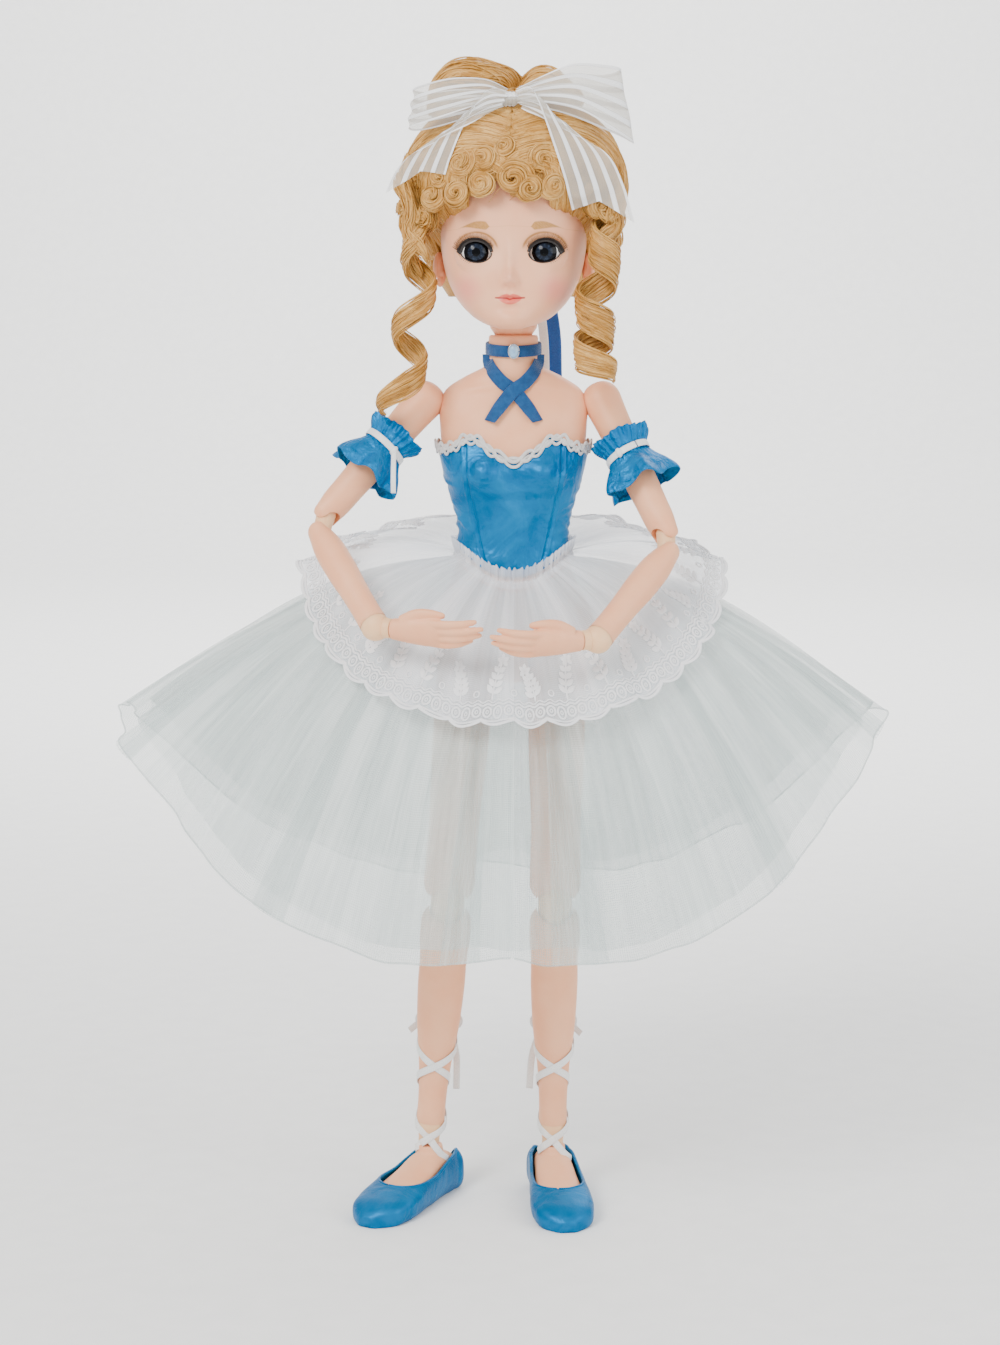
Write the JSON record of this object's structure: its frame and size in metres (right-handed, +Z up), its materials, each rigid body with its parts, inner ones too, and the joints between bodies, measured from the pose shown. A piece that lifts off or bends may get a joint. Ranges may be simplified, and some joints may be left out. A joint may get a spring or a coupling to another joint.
{
  "type": "ball jointed doll",
  "caption": "Ball jointed ballerina doll in a satin bodice, tulle skirt and slippers, curled hair with a bow, standing with arms rounded in front.",
  "frame": {"origin": "on the floor, under the middle of the doll's outline seen from above", "axes": "+Z up, the doll faces -Y, and +X is its left side"},
  "size_m": [0.392, 0.2306, 0.5977],
  "materials": {
    "skin": "bare pale skin plastic, satin",
    "face_skin": "pale skin plastic with painted brows, lids, lips and blush, matt sealed",
    "joint_skin": "paler skin plastic, polished by movement",
    "hair": "blonde curled fibre, silky",
    "sheer_ribbon": "white sheer ribbon with satin stripes",
    "blue_ribbon": "bright blue satin ribbon",
    "eye": "dark navy iris under a clear glossy front",
    "velvet": "blue velvet",
    "gem": "pale blue polished cabochon",
    "bodice_satin": "royal blue satin, wrinkled at the waist",
    "white_edging": "white scalloped braid",
    "lace": "white tulle with a floral lace edge",
    "tulle": "sheer white tulle in soft folds",
    "band_satin": "royal blue satin ruffle",
    "white_ribbon": "narrow white satin ribbon",
    "slipper_satin": "royal blue satin"
  },
  "bodies": {
    "pelvis": {"pelvis": "skin", "underskirt": "tulle", "overskirt": "lace"},
    "waist": {"waist_ball": "joint_skin"},
    "chest": {"chest": "skin", "bodice": "bodice_satin", "bodice_trim": "white_edging", "choker": "velvet", "choker_gem": "gem"},
    "neck": {"neck_ball": "joint_skin"},
    "head": {"head": "face_skin", "head_cap": "face_skin", "wig": "hair", "bun": "hair", "fringe": "hair", "hair_bow": "sheer_ribbon", "hair_ribbon": "blue_ribbon", "eye_left": "eye", "eye_right": "eye", "ringlet_left": "hair", "ringlet_right": "hair"},
    "left_shoulder_joint": {"shoulder_joint_left": "joint_skin"},
    "left_shoulder_cap": {"shoulder_cap_left": "skin"},
    "left_upper_arm": {"upper_arm_left": "skin", "arm_band_left": "band_satin"},
    "left_elbow_joint": {"elbow_joint_left": "joint_skin"},
    "left_forearm": {"forearm_left": "skin"},
    "left_wrist": {"wrist_ball_left": "joint_skin"},
    "left_hand": {"hand_left": "skin"},
    "right_shoulder_joint": {"shoulder_joint_right": "joint_skin"},
    "right_shoulder_cap": {"shoulder_cap_right": "skin"},
    "right_upper_arm": {"upper_arm_right": "skin", "arm_band_right": "band_satin"},
    "right_elbow_joint": {"elbow_joint_right": "joint_skin"},
    "right_forearm": {"forearm_right": "skin"},
    "right_wrist": {"wrist_ball_right": "joint_skin"},
    "right_hand": {"hand_right": "skin"},
    "left_hip_joint": {"hip_joint_left": "joint_skin"},
    "left_hip_cap": {"hip_cap_left": "skin"},
    "left_thigh": {"thigh_left": "skin"},
    "left_knee_joint": {"knee_joint_left": "joint_skin"},
    "left_shin": {"shin_left": "skin", "lacing_left": "white_ribbon"},
    "left_ankle": {"ankle_ball_left": "joint_skin"},
    "left_foot": {"foot_left": "skin", "slipper_left": "slipper_satin"},
    "right_hip_joint": {"hip_joint_right": "joint_skin"},
    "right_hip_cap": {"hip_cap_right": "skin"},
    "right_thigh": {"thigh_right": "skin"},
    "right_knee_joint": {"knee_joint_right": "joint_skin"},
    "right_shin": {"shin_right": "skin", "lacing_right": "white_ribbon"},
    "right_ankle": {"ankle_ball_right": "joint_skin"},
    "right_foot": {"foot_right": "skin", "slipper_right": "slipper_satin"}
  },
  "joints": [
    {"name": "waist_turn", "type": "hinge", "parent": "pelvis", "child": "waist", "pos_m": [0.0069, -0.00005, 0.352], "axis": [0, 0, 1], "range_deg": [-30, 30], "deforming": ["overskirt"]},
    {"name": "waist_lean", "type": "hinge", "parent": "waist", "child": "chest", "pos_m": [0.0069, -0.00005, 0.352], "axis": [1, 0, 0], "range_deg": [-12, 20], "deforming": ["bodice", "bodice_trim"]},
    {"name": "head_turn", "type": "hinge", "parent": "chest", "child": "neck", "pos_m": [0.0069, -0.00005, 0.463], "axis": [0, 0, 1], "range_deg": [-40, 40], "deforming": ["choker"]},
    {"name": "head_nod", "type": "hinge", "parent": "neck", "child": "head", "pos_m": [0.0069, -0.00005, 0.463], "axis": [0.9986, -0.0523, 0], "range_deg": [-25, 18], "deforming": ["ringlet_left", "ringlet_right", "hair_ribbon", "hair_bow"]},
    {"name": "left_shoulder_swing", "type": "hinge", "parent": "chest", "child": "left_shoulder_joint", "pos_m": [0.0524, -0.00005, 0.421], "axis": [-1, 0, 0], "range_deg": [-20, 80]},
    {"name": "left_shoulder_raise", "type": "hinge", "parent": "left_shoulder_joint", "child": "left_shoulder_cap", "pos_m": [0.0524, -0.00005, 0.421], "axis": [0, -0.9157, 0.4019], "range_deg": [0, 45]},
    {"name": "left_arm_turn", "type": "hinge", "parent": "left_shoulder_cap", "child": "left_upper_arm", "pos_m": [0.0524, -0.00005, 0.421], "axis": [0.4019, -0.368, -0.8384], "range_deg": [-80, 35], "deforming": ["arm_band_left"]},
    {"name": "left_elbow_upper", "type": "hinge", "parent": "left_upper_arm", "child": "left_elbow_joint", "pos_m": [0.08375, -0.02876, 0.3556], "axis": [-0.346, 0.7867, -0.5112], "range_deg": [-24, 2]},
    {"name": "left_elbow_lower", "type": "hinge", "parent": "left_elbow_joint", "child": "left_forearm", "pos_m": [0.084, -0.03522, 0.34549], "axis": [-0.346, 0.7867, -0.5112], "range_deg": [-36, 3]},
    {"name": "left_wrist_bend", "type": "hinge", "parent": "left_forearm", "child": "left_wrist", "pos_m": [0.04801, -0.07561, 0.30769], "axis": [-0.346, 0.7867, -0.5112], "range_deg": [-80, 12]},
    {"name": "left_hand_turn", "type": "hinge", "parent": "left_wrist", "child": "left_hand", "pos_m": [0.04801, -0.07561, 0.30769], "axis": [-0.9093, -0.4154, -0.0239], "range_deg": [-90, 90]},
    {"name": "right_shoulder_swing", "type": "hinge", "parent": "chest", "child": "right_shoulder_joint", "pos_m": [-0.0386, -0.00005, 0.421], "axis": [-1, 0, 0], "range_deg": [-20, 80]},
    {"name": "right_shoulder_raise", "type": "hinge", "parent": "right_shoulder_joint", "child": "right_shoulder_cap", "pos_m": [-0.0386, -0.00005, 0.421], "axis": [0, 0.9342, -0.3567], "range_deg": [-25, 30]},
    {"name": "right_arm_turn", "type": "hinge", "parent": "right_shoulder_cap", "child": "right_upper_arm", "pos_m": [-0.0386, -0.00005, 0.421], "axis": [0.6347, 0.2757, 0.7219], "range_deg": [-80, 30], "deforming": ["arm_band_right"]},
    {"name": "right_elbow_upper", "type": "hinge", "parent": "right_upper_arm", "child": "right_elbow_joint", "pos_m": [-0.08811, -0.02155, 0.36469], "axis": [-0.3032, -0.7705, 0.5608], "range_deg": [-28, 40]},
    {"name": "right_elbow_lower", "type": "hinge", "parent": "right_elbow_joint", "child": "right_forearm", "pos_m": [-0.09079, -0.02773, 0.35476], "axis": [-0.3032, -0.7705, 0.5608], "range_deg": [-41, 30]},
    {"name": "right_wrist_bend", "type": "hinge", "parent": "right_forearm", "child": "right_wrist", "pos_m": [-0.06133, -0.06962, 0.31313], "axis": [-0.3032, -0.7705, 0.5608], "range_deg": [-85, 8]},
    {"name": "right_hand_turn", "type": "hinge", "parent": "right_wrist", "child": "right_hand", "pos_m": [-0.06133, -0.06962, 0.31313], "axis": [-0.911, 0.407, 0.0667], "range_deg": [-90, 90]},
    {"name": "left_hip_swing", "type": "hinge", "parent": "pelvis", "child": "left_hip_joint", "pos_m": [0.0299, -0.00005, 0.3], "axis": [-1, 0, 0], "range_deg": [-20, 50], "deforming": ["underskirt"]},
    {"name": "left_hip_spread", "type": "hinge", "parent": "left_hip_joint", "child": "left_hip_cap", "pos_m": [0.0299, -0.00005, 0.3], "axis": [0, -1, 0], "range_deg": [0, 22]},
    {"name": "left_thigh_turn", "type": "hinge", "parent": "left_hip_cap", "child": "left_thigh", "pos_m": [0.0299, -0.00005, 0.3], "axis": [0.007, 0, 1], "range_deg": [-8, 12]},
    {"name": "left_knee_upper", "type": "hinge", "parent": "left_thigh", "child": "left_knee_joint", "pos_m": [0.02898, -0.00005, 0.1685], "axis": [1, 0, -0.007], "range_deg": [0, 60]},
    {"name": "left_knee_lower", "type": "hinge", "parent": "left_knee_joint", "child": "left_shin", "pos_m": [0.02884, -0.00005, 0.1475], "axis": [1, 0, -0.007], "range_deg": [0, 60]},
    {"name": "left_ankle_bend", "type": "hinge", "parent": "left_shin", "child": "left_ankle", "pos_m": [0.02806, -0.00005, 0.03701], "axis": [-1, 0, 0.007], "range_deg": [-45, 40], "deforming": ["lacing_left"]},
    {"name": "left_foot_turn", "type": "hinge", "parent": "left_ankle", "child": "left_foot", "pos_m": [0.02806, -0.00005, 0.03701], "axis": [0.007, 0, 1], "range_deg": [-10, 40]},
    {"name": "right_hip_swing", "type": "hinge", "parent": "pelvis", "child": "right_hip_joint", "pos_m": [-0.0161, -0.00005, 0.3], "axis": [-1, 0, 0], "range_deg": [-20, 50]},
    {"name": "right_hip_spread", "type": "hinge", "parent": "right_hip_joint", "child": "right_hip_cap", "pos_m": [-0.0161, -0.00005, 0.3], "axis": [0, 1, 0], "range_deg": [-3, 18]},
    {"name": "right_thigh_turn", "type": "hinge", "parent": "right_hip_cap", "child": "right_thigh", "pos_m": [-0.0161, -0.00005, 0.3], "axis": [-0.0802, 0, -0.9968], "range_deg": [-8, 12]},
    {"name": "right_knee_upper", "type": "hinge", "parent": "right_thigh", "child": "right_knee_joint", "pos_m": [-0.02665, -0.00005, 0.16892], "axis": [0.9968, 0, -0.0802], "range_deg": [0, 60]},
    {"name": "right_knee_lower", "type": "hinge", "parent": "right_knee_joint", "child": "right_shin", "pos_m": [-0.02833, -0.00005, 0.14799], "axis": [0.9968, 0, -0.0802], "range_deg": [0, 60]},
    {"name": "right_ankle_bend", "type": "hinge", "parent": "right_shin", "child": "right_ankle", "pos_m": [-0.03719, -0.00005, 0.03785], "axis": [-0.9968, 0, 0.0802], "range_deg": [-45, 40], "deforming": ["lacing_right"]},
    {"name": "right_foot_turn", "type": "hinge", "parent": "right_ankle", "child": "right_foot", "pos_m": [-0.03719, -0.00005, 0.03785], "axis": [-0.0802, 0, -0.9968], "range_deg": [-30, 35]}
  ]
}
